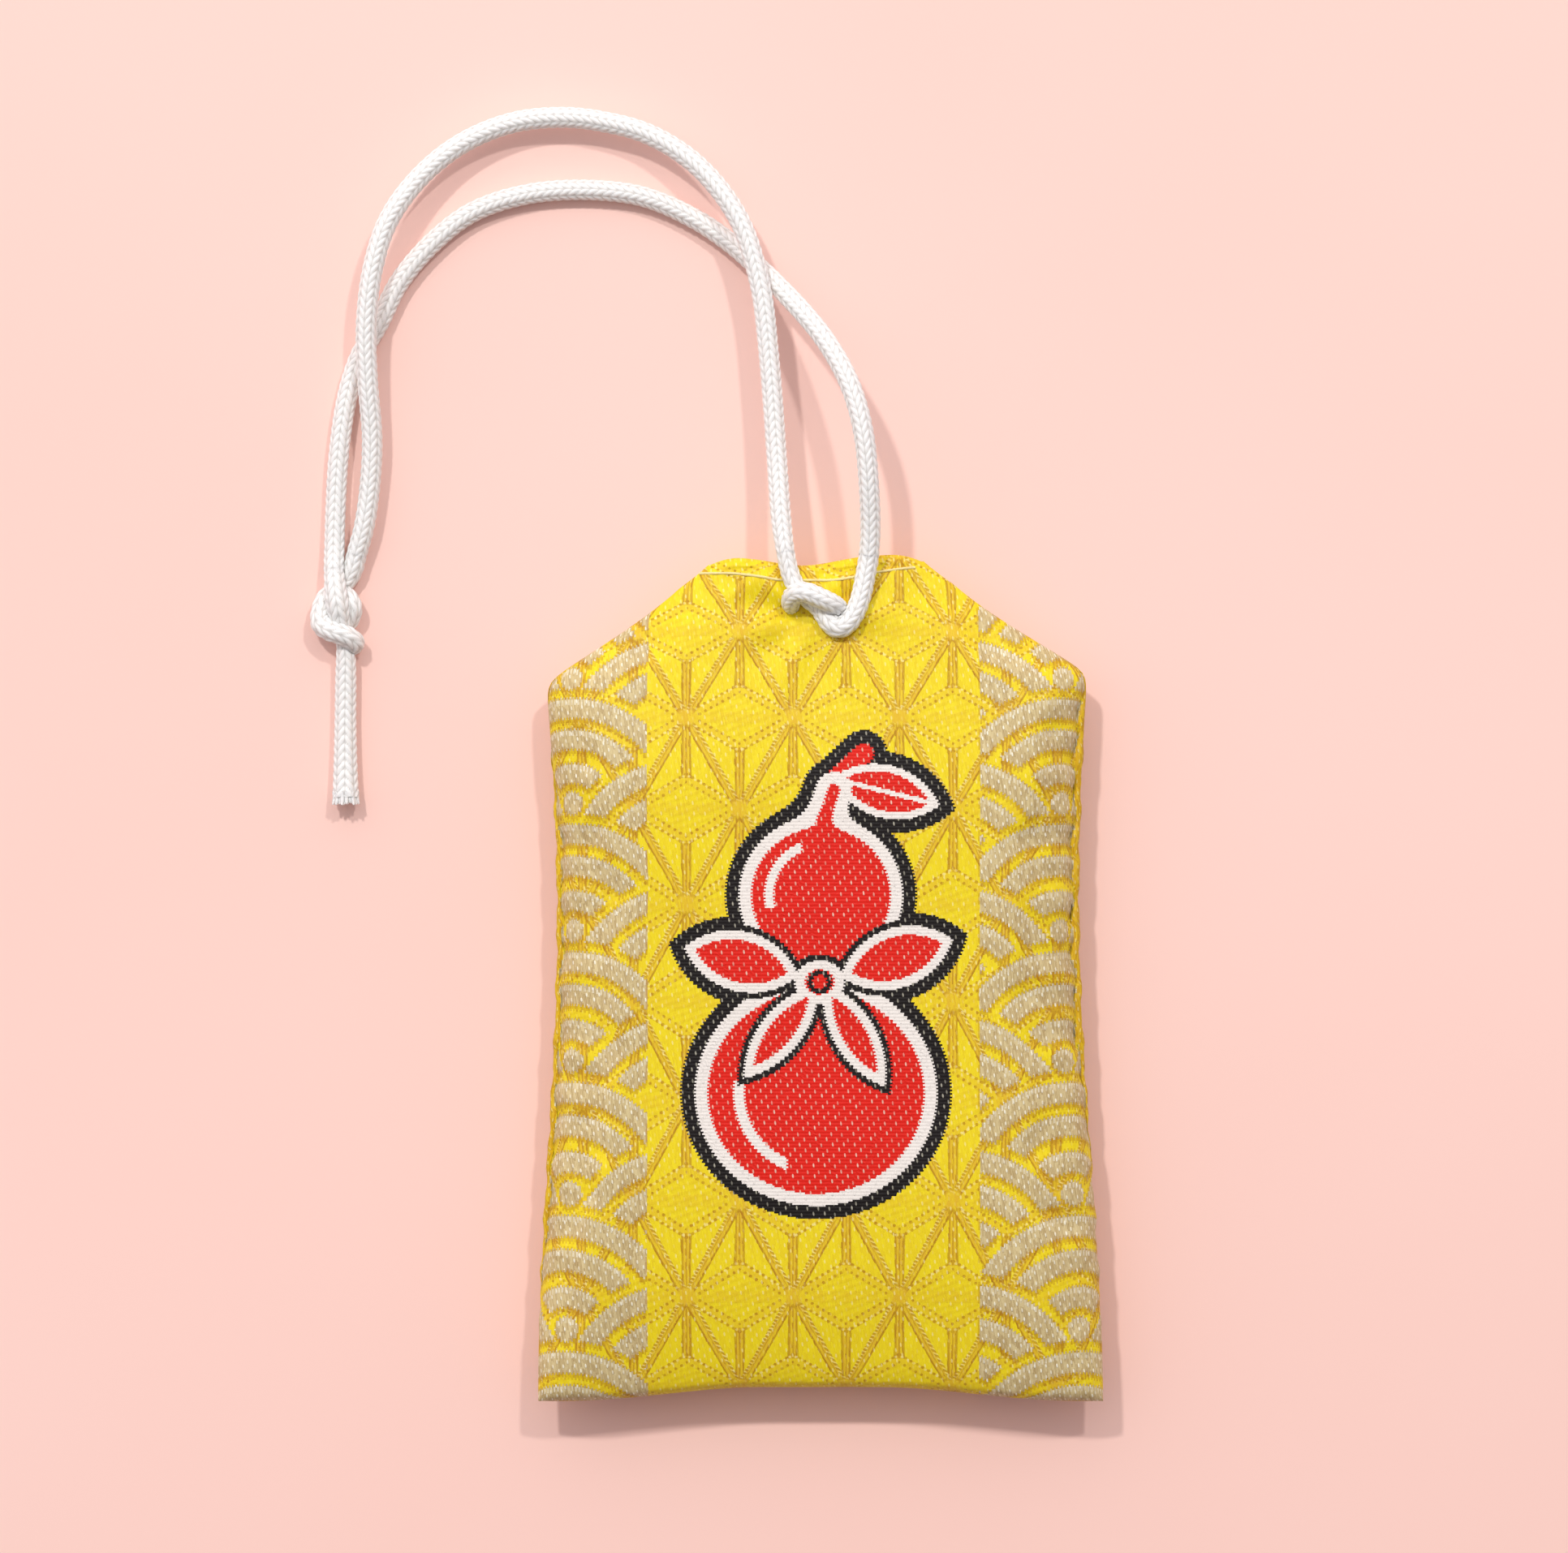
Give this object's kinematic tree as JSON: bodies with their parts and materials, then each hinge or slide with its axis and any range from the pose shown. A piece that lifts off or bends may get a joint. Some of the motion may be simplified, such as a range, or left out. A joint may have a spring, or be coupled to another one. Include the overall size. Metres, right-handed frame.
{
  "type": "omamori charm",
  "caption": "Flat brocade charm pouch with cut shoulders, padded round a card and a folded slip, closed by a tie that holds a knotted white carrying loop.",
  "frame": {"origin": "under the middle of the pouch, on the surface that its back lies on", "axes": "+Y along the pouch from its fold to its crest and cord, +Z out of its face, +X to the right"},
  "size_m": [0.0664, 0.1087, 0.0092],
  "materials": {
    "brocade": "woven satin ground with gold and silver figure",
    "thread": "twisted sewing thread",
    "wadding": "soft felted fibre",
    "card": "uncoated board",
    "slip": "plain uncoated paper",
    "cord": "silky braided cord"
  },
  "bodies": {
    "pouch": {"brocade_pouch": "brocade", "left_seam_thread": "thread", "right_seam_thread": "thread", "back_pad": "wadding", "front_pad": "wadding", "core_card": "card", "prayer_slip": "slip", "holding_tie": "cord", "loop_bight": "cord"},
    "loop": {"loop_strand_outer": "cord", "loop_strand_inner": "cord", "end_knot": "cord", "knot_core": "cord", "cord_tail": "cord"}
  },
  "joints": [
    {"name": "loop_lift", "type": "hinge", "parent": "pouch", "child": "loop", "pos_m": [0.0007, 0.037, 0.00681], "axis": [1, 0, 0], "range_deg": [0, 120]}
  ]
}
